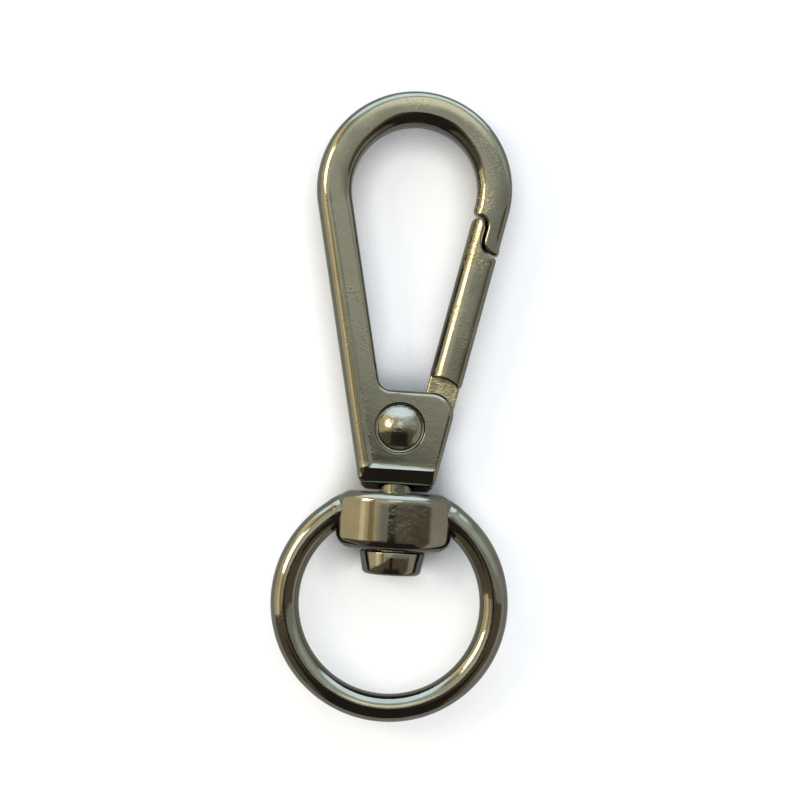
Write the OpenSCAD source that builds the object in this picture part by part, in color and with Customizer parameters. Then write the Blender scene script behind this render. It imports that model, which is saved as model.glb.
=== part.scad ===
// Swivel snap hook: a sprung gate closes the loop, and an eye ring turns on a headed stud.
// The hook lies flat, loop towards +Y, front face towards +Z.

/* [Loop] */
// Outer radius of the round end of the loop
loop_r = 10.7; // [10:0.1:12]
// Width of the rail, seen from the front
rail_w = 3.8; // [3.5:0.1:4.2]
// Thickness of the rail and the base, front to back
body_t = 5; // [4.6:0.1:6]
// Rounding along the edges of the rail
rail_round = 1.6; // [0.8:0.1:1.7]

/* [Base] */
// Drop from the loop's centre to the gate's rivet
pivot_drop = 26.2; // [24:0.1:32]
// Rise of the cheeks above the rivet's centre
cheek_rise = 4.1; // [3.8:0.1:4.6]
// Length of the base below the rivet's centre
base_drop = 6.7; // [6.4:0.1:8]
// Width of the base at its lower end
base_w = 8.1; // [7.6:0.1:9.4]
// Rounding along the edges of the cheeks
cheek_round = 0.8; // [0.5:0.1:1]
// Corner radius of the cheeks beside the gate
cheek_corner = 2.4; // [1.8:0.1:2.6]
// Length of the bevel at the base's lower end, front and back
end_bevel = 1.95; // [1.2:0.05:2.2]
// Depth of that bevel at the very end
end_fall = 0.6; // [0.3:0.05:0.65]
// Corner cut of the base's lower end, seen from the front
end_corner = 0.6; // [0.3:0.1:1]
// Fillet radius between the spine and the cheeks
crotch_r = 1.4; // [0.8:0.1:1.8]
// Width of the slot between the cheeks
slot_w = 2.6; // [2.4:0.1:2.8]

/* [Nose] */
// Length of the nose below the loop's centre, along the leg
nose_len = 4.75; // [4.4:0.05:6]
// Width of the lip that is left beside the notch
lip_w = 1.85; // [1.6:0.05:2]
// Rounding of the rail's end above the notch
notch_round = 0.6; // [0.3:0.1:0.8]

/* [Gate] */
// Width of the gate's bar, seen from the front
gate_w = 3.7; // [3.5:0.1:4]
// Thickness of the gate's bar
gate_t = 4.6; // [4:0.1:5]
// Rounding along the edges of the gate's bar
gate_round = 1.5; // [0.8:0.1:1.6]
// Start of the gate's finger below the loop's centre, along the leg
finger_start = 1.35; // [1.2:0.05:1.8]
// Gap between the gate and the nose
nose_gap = 0.4; // [0.3:0.05:0.5]
// Gap between the end of the gate's bar and the cheeks
shoulder_gap = 1.7; // [1:0.1:2]
// Side clearance of the gate's tongue in the slot
tongue_clear = 0.1; // [0.05:0.01:0.15]

/* [Rivet] */
// Radius of the rivet's shank
rivet_r = 1.1; // [0.9:0.05:1.2]
// Radial running clearance of the gate on the rivet
pivot_clear = 0.05; // [0.02:0.01:0.1]
// Radius of the rivet's heads
head_r = 2.45; // [2.2:0.05:2.6]
// Rise of the domed front head above its seat
dome_h = 1.4; // [0.8:0.05:1.6]
// Rise of the flatter back head above its seat
back_h = 1.05; // [0.6:0.05:1.2]
// Depth of the round recess the heads sit in
recess_d = 0.55; // [0.2:0.05:0.6]
// Gap round the heads in their recess
recess_gap = 0.4; // [0.2:0.05:0.6]
// Depth of the flat pressed into the front round the rivet, at its lower left corner
press_d = 0.22; // [0.1:0.02:0.3]
// Length of the slope from the pressed flat up to the bead across the base
bead_w = 0.55; // [0.4:0.05:0.8]

/* [Spring] */
// Diameter of the spring's wire
wire_d = 0.34; // [0.3:0.02:0.36]
// Full turns of the spring's coil
coil_turns = 2; // [1:1:2]

/* [Swivel] */
// Radius of the stud's shank
stud_r = 1.8; // [1.6:0.05:1.8]
// Radial running clearance of the collar on the stud
swivel_clear = 0.06; // [0.03:0.01:0.1]
// Gap between the base and the collar
collar_gap = 0.4; // [0.3:0.05:0.6]
// Gap between the collar and the stud's head
head_gap = 0.15; // [0.1:0.05:0.3]
// Radius of the stud's head where it meets the collar
stud_head_r = 3.6; // [3:0.1:4]
// Height of the stud's head
stud_head_h = 2.6; // [2:0.1:3.5]

/* [Eye] */
// Centre-line radius of the ring
ring_r = 11.5; // [11:0.1:14]
// Radius of the ring's wire
ring_wire_r = 1.56; // [1.4:0.02:1.8]
// Height of the collar along the swivel's axis
collar_h = 6.3; // [5.6:0.1:8]
// Depth of the collar, front to back
collar_t = 8.4; // [7.6:0.1:9]
// Width of the collar across its shoulders
collar_w = 12.7; // [12:0.1:13.6]
// Radius of the bulging front and back of the collar
collar_bulge = 9.2; // [8:0.1:12]
// Width of the collar's front between its shoulders
collar_front = 9.1; // [8.4:0.1:9.8]
// Rounding along the collar's edges
collar_round = 1; // [0.6:0.1:1.2]

/* [Hidden] */
$fn = 64;
metal = [0.42, 0.43, 0.40];
far = 40;
// What a rounded joining piece is slimmer than the flat sides it runs into
slim = 0.02;
// Levels along the hook's centre line, measured from the loop's centre
base_y = -(pivot_drop + base_drop);
crotch_y = cheek_rise - pivot_drop;
collar_y = base_y - collar_gap;
head_y = collar_y - collar_h;
ring_y = collar_y - 0.75 - ring_r;
end_y = ring_y - ring_r - ring_wire_r;
// Lean of the legs that leads from the loop's outside to the base's lower corners
leg_lean = atan2(-base_y, base_w / 2) - acos(loop_r / norm([base_y, base_w / 2]));
rail_u = loop_r - rail_w;
rail_edge = min(rail_round, rail_w / 2 - 0.2);
gate_edge = min(gate_round, gate_w / 2 - 0.2);
// Rivet's centre in the frame of the gate's leg
pivot_u = pivot_drop * sin(leg_lean);
pivot_v = -pivot_drop * cos(leg_lean);
// Lip of the nose, and the gate's finger beside it
lip_v = lip_w - nose_len;
gate_u = loop_r - gate_w;
finger_w = gate_w - lip_w - nose_gap;
tip_u = gate_u + finger_w / 2;
tip_v = -finger_start - finger_w / 2;
notch_v = tip_v + finger_w / 2 + nose_gap;
bar_y = crotch_y + shoulder_gap;
// Tongue of the gate round the rivet, and the space it turns in
ear_r = 2.4;
slot_r = ear_r + 0.25;
heel_drop = 1;
heel_gap = 0.05;
tongue_t = slot_w - 2 * tongue_clear;
web_u = gate_u + 0.1;
web_v = (crotch_y - 0.6 + web_u * sin(leg_lean)) / cos(leg_lean);
web_turn = atan2(web_v - pivot_v, web_u - pivot_u) + acos(ear_r / norm([web_u - pivot_u, web_v - pivot_v]));
// Spring round the rivet, between the two ears of the tongue
coil_r = 1.55;
coil_pitch = wire_d + 0.04;
coil_room = coil_r + wire_d / 2 + 0.2;
spring_room = (coil_turns + 0.1) * coil_pitch + wire_d + 0.2;
leg_turn = 48;
anchor_turn = 285;
push_leg = 3.2;
anchor_leg = sqrt(pow(slot_r - wire_d / 2 - 0.08, 2) - pow(coil_r, 2));
// Centre of the cheeks' rounded corner, in the hook's frame
corner_y = crotch_y - cheek_corner;
corner_x = (loop_r - cheek_corner + corner_y * sin(leg_lean)) / cos(leg_lean);
// Centre of the crotch's fillet beside the spine
fillet_y = crotch_y + crotch_r;
fillet_x = -(rail_u - crotch_r + fillet_y * sin(leg_lean)) / cos(leg_lean);
// Collar shoulders, turned about the swivel's axis
bulge_z = collar_bulge - collar_t / 2;
shoulder_z = sqrt(pow(collar_bulge, 2) - pow(collar_front / 2, 2)) - bulge_z;
shoulder_turn = 42;
shoulder_w = 2 * (shoulder_z * cos(shoulder_turn) + collar_front / 2 * sin(shoulder_turn));
ring_hide = asin((collar_w / 2 - 1.4) / ring_r);

// Rectangle with four rounded corners, about its centre
module rounded_section(w, t, r) {
  square([w - 2 * r, t], center = true);
  square([w, t - 2 * r], center = true);
  for (x = [-1, 1], y = [-1, 1])
    translate([x * (w / 2 - r), y * (t / 2 - r)])
      circle(r);
}

// Puts the loop's centre and the middle plane where the hook lies flat about the origin
module placed() {
  translate([0, -(loop_r + end_y) / 2, collar_t / 2])
    children();
}

// Frame of the gate's leg: x across the leg, y up along it
module leg_frame() {
  rotate([0, 0, -leg_lean])
    children();
}

// Frame of the swivel: z up along the hook's centre line
module swivel_frame(y) {
  translate([0, y, 0])
    rotate([-90, 0, 0])
      children();
}

// Flat plan given a thickness about the middle plane
module plate(t) {
  linear_extrude(t, center = true)
    children();
}

// Straight rail downwards from y = 0, its outer side at x = loop_r
module rail(length) {
  translate([loop_r - rail_w / 2, 0, 0])
    rotate([90, 0, 0])
      linear_extrude(length)
        rounded_section(rail_w, body_t, rail_edge);
}

// Round end of the loop, a hair slimmer than the two legs it runs into
module top_bend() {
  lead = 1.5;
  rotate([0, 0, -leg_lean - lead])
    rotate_extrude(angle = 180 + 2 * (leg_lean + lead))
      translate([loop_r - rail_w / 2, 0])
        rounded_section(rail_w - slim, body_t - slim, rail_edge);
}

module spine() {
  mirror([1, 0, 0])
    leg_frame()
      rail(far);
}

// Plan of the notch: room round the gate's finger, leaving the lip of the nose
module notch_plan() {
  translate([tip_u, tip_v])
    circle(finger_w / 2 + nose_gap);
  translate([rail_u - 1, tip_v])
    square([tip_u - rail_u + 1, notch_v - tip_v]);
  translate([rail_u - 1, lip_v])
    square([rail_w + 1 - lip_w, tip_v - lip_v]);
  difference() {
    translate([rail_u - 1, lip_v - far])
      square([rail_w + 2, far]);
    translate([loop_r, lip_v])
      circle(lip_w);
  }
  difference() {
    translate([rail_u - 1, notch_v])
      square([1 + notch_round, notch_round]);
    translate([rail_u + notch_round, notch_v + notch_round])
      circle(notch_round);
  }
}

module nose() {
  leg_frame()
    difference() {
      rail(nose_len + 0.6);
      plate(body_t + 1)
        notch_plan();
    }
}

// Half space on the gate's side of a plane along the spine, u across its leg
module beside_spine(u) {
  mirror([1, 0, 0])
    leg_frame()
      translate([u - 2 * far, -2 * far, -far])
        cube([2 * far, 3 * far, 2 * far]);
}

// Two cheeks as one block, with rounded edges on top and beside the gate
module cheeks() {
  difference() {
    intersection() {
      translate([0, crotch_y - far / 2, 0])
        rotate([90, 0, 90])
          linear_extrude(far, center = true)
            rounded_section(far, body_t, cheek_round);
      leg_frame()
        translate([loop_r - far / 2, 0, 0])
          rotate([90, 0, 0])
            linear_extrude(far)
              rounded_section(far, body_t, cheek_round);
      beside_spine(loop_r - rail_w / 2);
    }
    translate([corner_x, corner_y, 0])
      plate(far)
        polygon([
          [0, 0],
          far * [0, 1],
          far * [1, 1],
          far * [cos(leg_lean), -sin(leg_lean)]
        ]);
  }
  translate([corner_x, corner_y, 0])
    rotate_extrude()
      intersection() {
        rounded_section(2 * cheek_corner - slim, body_t - slim, cheek_round);
        translate([0, -far / 2])
          square(far);
      }
}

// Fillet between the spine and the top of the cheeks
module crotch_fillet() {
  translate([fillet_x, fillet_y, 0])
    rotate([0, 0, 180 + leg_lean])
      rotate_extrude(angle = 90 - leg_lean)
        translate([crotch_r + slim + rail_w / 2 - 0.1, 0])
          rounded_section(rail_w - 0.2, body_t - slim, rail_edge - 0.1);
}

// Space between the cheeks in which the gate's tongue turns
module slot() {
  plate(slot_w) {
    translate([0, -pivot_drop])
      circle(slot_r);
    translate([-slot_r, -pivot_drop])
      square([far, cheek_rise + 2]);
    rotate(-leg_lean)
      translate([pivot_u, pivot_v - heel_drop - heel_gap])
        square([far, heel_drop + 2]);
  }
}

// Everything above the bevelled lower end of the base, its two corners cut
module base_end() {
  cut_x = base_w / 2 - end_corner;
  intersection() {
    translate([0, base_y, 0])
      rotate([90, 0, 90])
        linear_extrude(far, center = true)
          polygon([
            [0, end_fall - body_t / 2],
            [end_bevel, -body_t / 2],
            [far, -body_t / 2],
            [far, body_t / 2],
            [end_bevel, body_t / 2],
            [0, body_t / 2 - end_fall]
          ]);
    translate([0, base_y, 0])
      plate(far)
        polygon([
          [-cut_x, 0],
          [cut_x, 0],
          [cut_x + far, far],
          [-cut_x - far, far]
        ]);
  }
}

// Shallow flat pressed into the front round the rivet, up to a wall along the spine and a bead at the base
module pressed_flat() {
  crest_y = base_y + end_bevel + 0.1;
  wall_u = loop_r - rail_edge + 0.15;
  low_x = -(wall_u + (crest_y + bead_w) * sin(leg_lean)) / cos(leg_lean);
  intersection() {
    translate([low_x, crest_y + bead_w, body_t / 2 - press_d])
      rotate([1, -1.35, 0])
        translate([-far / 2, -far / 2, 0])
          cube(far);
    translate([0, crest_y, body_t / 2])
      rotate([-atan2(press_d, bead_w), 0, 0])
        translate([-far / 2, -far / 2, 0])
          cube(far);
    beside_spine(wall_u);
  }
}

module hook_body() {
  seat = body_t / 2 - recess_d;
  color(metal)
    placed()
      difference() {
        union() {
          top_bend();
          nose();
          intersection() {
            union() {
              spine();
              cheeks();
              crotch_fillet();
            }
            base_end();
          }
        }
        slot();
        translate([0, -pivot_drop, 0]) {
          cylinder(h = far, r = rivet_r, center = true);
          translate([0, 0, seat])
            cylinder(h = far, r = head_r + recess_gap);
          translate([0, 0, -seat - far])
            cylinder(h = far, r = head_r + recess_gap);
        }
        pressed_flat();
        swivel_frame(base_y - 1)
          cylinder(h = 1 + base_drop - slot_r - 0.75, r = stud_r);
      }
}

// Plan of the gate's bar with its finger, offset from the nose by the nose gap
module bar_plan() {
  difference() {
    union() {
      translate([tip_u, tip_v])
        circle(finger_w / 2);
      translate([gate_u, lip_v])
        square([finger_w, tip_v - lip_v]);
      translate([gate_u, lip_v - far])
        square([gate_w, far]);
    }
    translate([loop_r, lip_v])
      circle(lip_w + nose_gap);
  }
}

module gate_bar() {
  intersection() {
    leg_frame() {
      intersection() {
        plate(far)
          bar_plan();
        translate([gate_u + gate_w / 2, far / 4, 0])
          rotate([90, 0, 0])
            linear_extrude(2 * far)
              rounded_section(gate_w, gate_t, gate_edge);
      }
    }
    difference() {
      cube(2 * far, center = true);
      plate(far) {
        translate([corner_x, corner_y])
          circle(cheek_corner + shoulder_gap);
        translate([corner_x - far, bar_y - far])
          square(far);
        translate([corner_x - 1, corner_y - far])
          square(far);
      }
    }
  }
}

// Plan of the tongue: an ear round the rivet, a web up to the bar and a heel that stops the gate
module tongue_plan() {
  translate([pivot_u, pivot_v])
    circle(ear_r);
  polygon([
    [pivot_u, pivot_v],
    [pivot_u, pivot_v - heel_drop],
    [loop_r - 0.15, pivot_v - heel_drop],
    [loop_r - 0.15, pivot_v + 7],
    [web_u, pivot_v + 7],
    [web_u, web_v],
    [pivot_u + ear_r * cos(web_turn), pivot_v + ear_r * sin(web_turn)]
  ]);
}

// Room between the ears for the coil and the two legs of the spring
module spring_pocket() {
  side = coil_r + wire_d / 2 + 0.02;
  translate([0, -pivot_drop, 0])
    plate(spring_room) {
      circle(coil_room);
      rotate(leg_turn)
        translate([0, -side])
          square([push_leg + 0.3, side]);
      rotate(anchor_turn - 120)
        square(2 * ear_r);
    }
}

module gate() {
  color(metal)
    placed()
      difference() {
        union() {
          gate_bar();
          leg_frame()
            plate(tongue_t)
              tongue_plan();
        }
        translate([0, -pivot_drop, 0])
          cylinder(h = far, r = rivet_r + pivot_clear, center = true);
        spring_pocket();
      }
}

// Half section of a domed rivet head on its seat
module dome_section(rise) {
  r = (pow(head_r, 2) + pow(rise, 2)) / (2 * rise);
  intersection() {
    translate([0, rise - r])
      circle(r);
    square([head_r, rise]);
  }
}

module gate_rivet() {
  seat = body_t / 2 - recess_d;
  color(metal)
    placed()
      translate([0, -pivot_drop, 0])
        rotate_extrude() {
          translate([0, -seat])
            square([rivet_r, 2 * seat]);
          translate([0, seat])
            dome_section(dome_h);
          translate([0, -seat])
            mirror([0, 1])
              dome_section(back_h);
        }
}

// Centre line of the spring: anchored leg, coil, then the leg that pushes the gate shut
coil_sweep = 360 * coil_turns + leg_turn - 90 - anchor_turn + 360;
coil_steps = 24 * coil_turns;
coil_low = -coil_pitch * coil_sweep / 720;
function coil_point(a, z) = [coil_r * cos(a), coil_r * sin(a), z];
function along(a) = [cos(a), sin(a), 0];
spring_turns = [for (i = [0 : coil_steps]) anchor_turn + coil_sweep * i / coil_steps];
spring_line = concat(
  [coil_point(anchor_turn, coil_low) + anchor_leg * along(anchor_turn - 90)],
  [for (a = spring_turns) coil_point(a, coil_low + coil_pitch * (a - anchor_turn) / 360)],
  [coil_point(leg_turn - 90, -coil_low) + push_leg * along(leg_turn)]
);
spring_faces = concat([anchor_turn], spring_turns, [leg_turn - 90]);

module gate_spring() {
  sides = 10;
  rings = len(spring_line);
  wire = [
    for (i = [0 : rings - 1], k = [0 : sides - 1])
      spring_line[i] + wire_d / 2 * (cos(360 * k / sides) * along(spring_faces[i])
        + [0, 0, sin(360 * k / sides)])
  ];
  walls = [
    for (i = [0 : rings - 2], k = [0 : sides - 1])
      let (a = i * sides + k, b = i * sides + (k + 1) % sides)
        [a, a + sides, b + sides, b]
  ];
  ends = [
    [for (k = [0 : sides - 1]) k],
    [for (k = [sides - 1 : -1 : 0]) (rings - 1) * sides + k]
  ];
  color(metal)
    placed()
      translate([0, -pivot_drop, 0])
        polyhedron(wire, concat(walls, ends), convexity = 6);
}

module swivel_stud() {
  inside = base_drop - slot_r - 0.8;
  rim = 0.9;
  low_r = stud_head_r - 0.35;
  color(metal)
    placed()
      swivel_frame(head_y - head_gap) {
        translate([0, 0, -1])
          cylinder(h = collar_h + collar_gap + head_gap + inside + 1, r = stud_r);
        translate([0, 0, rim - stud_head_h])
          cylinder(h = stud_head_h - rim, r1 = low_r, r2 = stud_head_r);
        rotate_extrude() {
          translate([low_r - rim, rim - stud_head_h])
            intersection() {
              circle(rim);
              translate([0, -far])
                square(far);
            }
          translate([0, -stud_head_h])
            square([low_r - rim, rim]);
        }
      }
}

// Round disc about the swivel's direction with rounded rims, for the collar's bulging faces
module bulge_disc(z) {
  translate([0, 0, z])
    swivel_frame(head_y + collar_h / 2)
      rotate_extrude()
        intersection() {
          rounded_section(2 * collar_bulge, collar_h, collar_round);
          translate([0, -far / 2])
            square(far);
        }
}

// Flat-sided slab with rounded rims, turned about the swivel's axis
module shoulder_slab(w, turn, r) {
  swivel_frame(head_y + collar_h / 2)
    rotate([0, 0, turn])
      rotate([90, 0, 0])
        linear_extrude(far, center = true)
          rounded_section(w, collar_h, r);
}

module collar() {
  intersection() {
    bulge_disc(-bulge_z);
    bulge_disc(bulge_z);
    shoulder_slab(shoulder_w, 90 - shoulder_turn, collar_round + 0.2);
    shoulder_slab(shoulder_w, shoulder_turn - 90, collar_round + 0.2);
    shoulder_slab(collar_w, 0, collar_round + 0.7);
  }
}

module eye_ring() {
  color(metal)
    placed()
      difference() {
        union() {
          collar();
          translate([0, ring_y, 0])
            rotate([0, 0, 90 + ring_hide])
              rotate_extrude(angle = 360 - 2 * ring_hide)
                translate([ring_r, 0])
                  circle(ring_wire_r);
        }
        swivel_frame(head_y - 1)
          cylinder(h = collar_h + 2, r = stud_r + swivel_clear);
      }
}

hook_body();
gate();
gate_rivet();
gate_spring();
swivel_stud();
eye_ring();
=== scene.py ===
import math
import bpy
import numpy as np
from mathutils.geometry import delaunay_2d_cdt
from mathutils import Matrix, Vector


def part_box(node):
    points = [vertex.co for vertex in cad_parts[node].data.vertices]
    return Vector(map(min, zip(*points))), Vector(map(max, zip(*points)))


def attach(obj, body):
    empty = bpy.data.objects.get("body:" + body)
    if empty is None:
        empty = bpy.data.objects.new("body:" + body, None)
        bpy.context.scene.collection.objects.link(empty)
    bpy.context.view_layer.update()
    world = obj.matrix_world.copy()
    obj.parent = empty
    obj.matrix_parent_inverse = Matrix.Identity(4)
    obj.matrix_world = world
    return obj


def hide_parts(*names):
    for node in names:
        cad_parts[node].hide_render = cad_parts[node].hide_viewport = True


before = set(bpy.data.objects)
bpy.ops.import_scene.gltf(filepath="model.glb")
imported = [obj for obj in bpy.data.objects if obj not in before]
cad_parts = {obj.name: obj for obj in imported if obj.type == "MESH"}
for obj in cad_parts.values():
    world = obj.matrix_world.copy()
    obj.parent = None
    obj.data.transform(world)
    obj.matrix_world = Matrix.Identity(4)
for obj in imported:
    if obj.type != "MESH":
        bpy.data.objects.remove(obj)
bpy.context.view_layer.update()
print("frame loaded:", ", ".join(sorted(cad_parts)))

mm = 0.001

# the hook's own frame, in mm: loop centre at the origin, y up along the hook, z out of its front
loop = {
    "radius": 10.7,      # outside of the round end
    "railWidth": 3.8,
    "thick": 5.0,
    "pivotDrop": 26.2,   # rivet's centre below the loop's centre
    "baseDrop": 6.7,     # end of the base below the rivet
    "baseWidth": 8.1,
    "crotchRise": 4.1,   # top of the cheeks above the rivet
}
hookLow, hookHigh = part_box("hook_body")
origin = np.array((0.0, hookHigh.y / mm - loop["radius"], (hookLow.z + hookHigh.z) / 2 / mm))
halfThick = loop["thick"] / 2
pivotY = -loop["pivotDrop"]
baseY = pivotY - loop["baseDrop"]
crotchY = pivotY + loop["crotchRise"]
halfBase = loop["baseWidth"] / 2
lean = math.atan2(-baseY, halfBase) - math.acos(loop["radius"] / math.hypot(baseY, halfBase))


# shared shape tools

rounding = {
    "roomShare": 0.78,   # most of the largest circle that fits, before and after the last softening
    "roomLimit": 0.82,
    "lastSoft": 3,
    "flatStep": 1.03,    # first row of a rounded edge, just inside its start
}


def gateLeg(u, v):
    # leg frame of the gate's side turned back to the hook's frame: u across the leg, v up along it
    return (u * math.cos(lean) + v * math.sin(lean), v * math.cos(lean) - u * math.sin(lean))


def legFrame(x, y):
    # the other way: a point of the hook's frame as u and v of the gate's leg
    return (x * math.cos(lean) - y * math.sin(lean), x * math.sin(lean) + y * math.cos(lean))


def legPoint(u, y):
    # point on the gate's leg at a height y of the hook's frame
    return ((u + y * math.sin(lean)) / math.cos(lean), y)


def arcPoints(centre, radius, start, end, step=0.1):
    # circle about a centre, from one angle to another in degrees
    count = max(4, int(abs(math.radians(end - start)) * radius / step))
    turn = np.radians(np.linspace(start, end, count))
    return np.c_[centre[0] + radius * np.cos(turn), centre[1] + radius * np.sin(turn)]


def roundCorners(corners, step=0.05):
    # each corner (x, y, radius) becomes an arc that touches both its sides; radius 0 keeps the point
    spots = np.array([c[:2] for c in corners], float)
    line = []
    for i, corner in enumerate(corners):
        spot = spots[i]
        if corner[2] == 0:
            line.append(spot[None])
            continue
        back = spots[i - 1] - spot
        ahead = spots[(i + 1) % len(spots)] - spot
        back /= np.linalg.norm(back)
        ahead /= np.linalg.norm(ahead)
        half = math.acos(np.clip(back @ ahead, -1, 1)) / 2
        middle = (back + ahead) / np.linalg.norm(back + ahead)
        centre = spot + middle * corner[2] / math.sin(half)
        first = spot + back * corner[2] / math.tan(half) - centre
        last = spot + ahead * corner[2] / math.tan(half) - centre
        start = math.atan2(first[1], first[0])
        sweep = (math.atan2(last[1], last[0]) - start + math.pi) % (2 * math.pi) - math.pi
        turn = start + sweep * np.linspace(0, 1, max(4, int(abs(sweep) * corner[2] / step)))
        line.append(centre + corner[2] * np.c_[np.cos(turn), np.sin(turn)])
    return np.concatenate(line)


def evenly(line, step):
    # closed line walked again in equal steps
    closed = np.vstack([line, line[:1]])
    run = np.r_[0, np.cumsum(np.linalg.norm(np.diff(closed, axis=0), axis=1))]
    at = np.linspace(0, run[-1], int(run[-1] / step), endpoint=False)
    return np.c_[np.interp(at, run, closed[:, 0]), np.interp(at, run, closed[:, 1])]


def inward(outline):
    # unit normals to the left of a line walked anticlockwise
    along = np.roll(outline, -1, 0) - np.roll(outline, 1, 0)
    along /= np.linalg.norm(along, axis=1)[:, None]
    return np.c_[-along[:, 1], along[:, 0]]


def smoothed(values, width):
    # running mean round a closed line
    pad = np.r_[values[-width:], values, values[:width]]
    return np.convolve(pad, np.ones(2 * width + 1) / (2 * width + 1), "valid")


def fittingRim(outline, rim, width):
    # edge radius softened along the line, and kept inside the largest circle that touches it there
    side = inward(outline)
    gap = outline[None] - outline[:, None]
    ahead = np.einsum("ijk,ik->ij", gap, side)
    room = np.where(ahead > 1e-4, (gap ** 2).sum(2) / np.maximum(2 * ahead, 1e-6), 1e3).min(1)
    soft = np.minimum(smoothed(rim, width), rounding["roomShare"] * room)
    return np.minimum(smoothed(soft, rounding["lastSoft"]), rounding["roomLimit"] * room)


def rimRows(outline, rim, half, rings):
    # rounded edge: t turns from the flat to the wall, and the rows go r(1 - cos t) in, r(1 - sin t) down
    turn = np.linspace(math.pi / 2, 0, rings + 1)[:, None]
    inset = np.vstack([rim * rounding["flatStep"], rim * (1 - np.cos(turn))])
    height = half - np.vstack([0 * rim, rim * (1 - np.sin(turn))])
    plan = outline[None] + inward(outline)[None] * inset[..., None]
    return np.concatenate([plan, height[..., None]], 2)


def gridFaces(rows, columns, start=0, wrap=False):
    # quads between the rows of a grid whose columns close; wrap joins the last row to the first
    r, c = np.meshgrid(np.arange(rows if wrap else rows - 1), np.arange(columns), indexing="ij")
    low, side = (r + 1) % rows, (c + 1) % columns
    corners = [r * columns + c, low * columns + c, low * columns + side, r * columns + side]
    return start + np.stack(corners, -1).reshape(-1, 4)


def flatGrid(first, second):
    # all pairs of two ranges, each a start, an end and a spacing
    a, b = np.meshgrid(np.arange(*first), np.arange(*second))
    return a.ravel(), b.ravel()


def spaced(points, gap):
    # one point for each small cell, so that rows that cross don't crowd
    _, first = np.unique(np.round(points / gap).astype(int), axis=0, return_index=True)
    return points[np.sort(first)]


def insideOf(points, outline):
    # even number of crossings means outside
    x, y = points[:, 0, None], points[:, 1, None]
    ax, ay = outline[:, 0], outline[:, 1]
    bx, by = np.roll(ax, -1), np.roll(ay, -1)
    crosses = (ay > y) != (by > y)
    reach = ax + (y - ay) * (bx - ax) / np.where(by == ay, 1e-9, by - ay)
    return (crosses & (x < reach)).sum(1) % 2 == 1


def fillFace(rim, holes, loose):
    # triangles that face up, between a rim, its holes and loose points, numbered in that order
    loops = [rim] + holes
    points = np.concatenate(loops + [loose])
    edges, start = [], 0
    for line in loops:
        edges += [(start + i, start + (i + 1) % len(line)) for i in range(len(line))]
        start += len(line)
    made = delaunay_2d_cdt([tuple(p) for p in points.tolist()], edges, [], 2, 1e-6)
    source = np.array([ids[0] for ids in made[3]])
    faces = source[np.array(made[2])]
    middle = points[faces].mean(1)
    keep = insideOf(middle, rim)
    for hole in holes:
        keep &= ~insideOf(middle, hole)
    faces = faces[keep]
    first = points[faces[:, 1]] - points[faces[:, 0]]
    second = points[faces[:, 2]] - points[faces[:, 0]]
    up = first[:, 0] * second[:, 1] - first[:, 1] * second[:, 0] > 0
    return np.where(up[:, None], faces, faces[:, ::-1])


class Shell:
    # points and faces gathered for one mesh

    def __init__(self):
        self.points, self.faces, self.count = [], [], 0

    def add(self, points, faces=()):
        start = self.count
        self.points.append(np.asarray(points, float).reshape(-1, 3))
        self.count += len(self.points[-1])
        self.faces += [[int(i) + start for i in face] for face in faces]
        return start

    def join(self, faces):
        self.faces += [[int(i) for i in face] for face in faces]

    def addCapped(self, rows):
        # rows of closed rings, with one face at each end
        count, sides = rows.shape[:2]
        start = self.add(rows, gridFaces(count, sides))
        self.join([start + np.arange(sides), (start + (count - 1) * sides + np.arange(sides))[::-1]])


def makePiece(name, shell, sharp, body, node, finish):
    # mesh in metres in the row's frame, smooth up to the sharp angle
    mesh = bpy.data.meshes.new(name)
    points = (np.concatenate(shell.points) + origin) * mm
    mesh.from_pydata(points.tolist(), [], shell.faces)
    mesh.validate()
    mesh.polygons.foreach_set("use_smooth", np.ones(len(mesh.polygons), bool))
    mesh.set_sharp_from_angle(angle=math.radians(sharp))
    mesh.materials.append(finish)
    piece = bpy.data.objects.new(name, mesh)
    bpy.context.scene.collection.objects.link(piece)
    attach(piece, body)
    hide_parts(node)
    print(name, len(mesh.vertices), "points")
    return piece


# finishes

plating = {
    "cloud": (0.3, 0.7),     # bands of each noise that count: clouds from the dark to the pale tone
    "worn": (0.45, 0.65),
    "grain": (0.58, 0.76),
    "fleck": (0.46, 0.62),
    "wornLeast": 0.1,        # share of the grains' height where the plating is whole
    "wornGlintCore": 0.3,          # share of a rubbed spot's radius that is fully worn, its flecks fully painted with warm glint
    "bareGlintShare": 0.9,        # share of the warm colour in a fleck there: bare metal, and a painted warm glint
    "cloudDetail": 3.0, "peelDetail": 2.0, "peelRoughness": 0.6, "grainDetail": 1.0,
}


def toLinear(code):
    # sRGB hex to linear colour
    parts = [int(code[i:i + 2], 16) / 255 for i in (1, 3, 5)]
    return tuple(c / 12.92 if c <= 0.04045 else ((c + 0.055) / 1.055) ** 2.4 for c in parts) + (1.0,)


def addNode(tree, kind, inputs=None, **settings):
    # one node: its settings, then each input as a value or a link
    node = tree.nodes.new(kind)
    for key, value in settings.items():
        setattr(node, key, value)
    for key, value in (inputs or {}).items():
        if isinstance(value, bpy.types.NodeSocket):
            tree.links.new(value, node.inputs[key])
        else:
            node.inputs[key].default_value = value
    return node


def mathOf(tree, kind, *values):
    return addNode(tree, "ShaderNodeMath", dict(enumerate(values)), operation=kind).outputs["Value"]


def mixOf(tree, share, first, second):
    inputs = {"Factor": share, "A": first, "B": second}
    return addNode(tree, "ShaderNodeMix", inputs, data_type="RGBA").outputs["Result"]


def bandOf(tree, value, start, end, least=0.0, most=1.0, curve="LINEAR"):
    # a band of a value spread over a range
    inputs = {"Value": value, "From Min": start, "From Max": end, "To Min": least, "To Max": most}
    return addNode(tree, "ShaderNodeMapRange", inputs, interpolation_type=curve).outputs["Result"]


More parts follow.
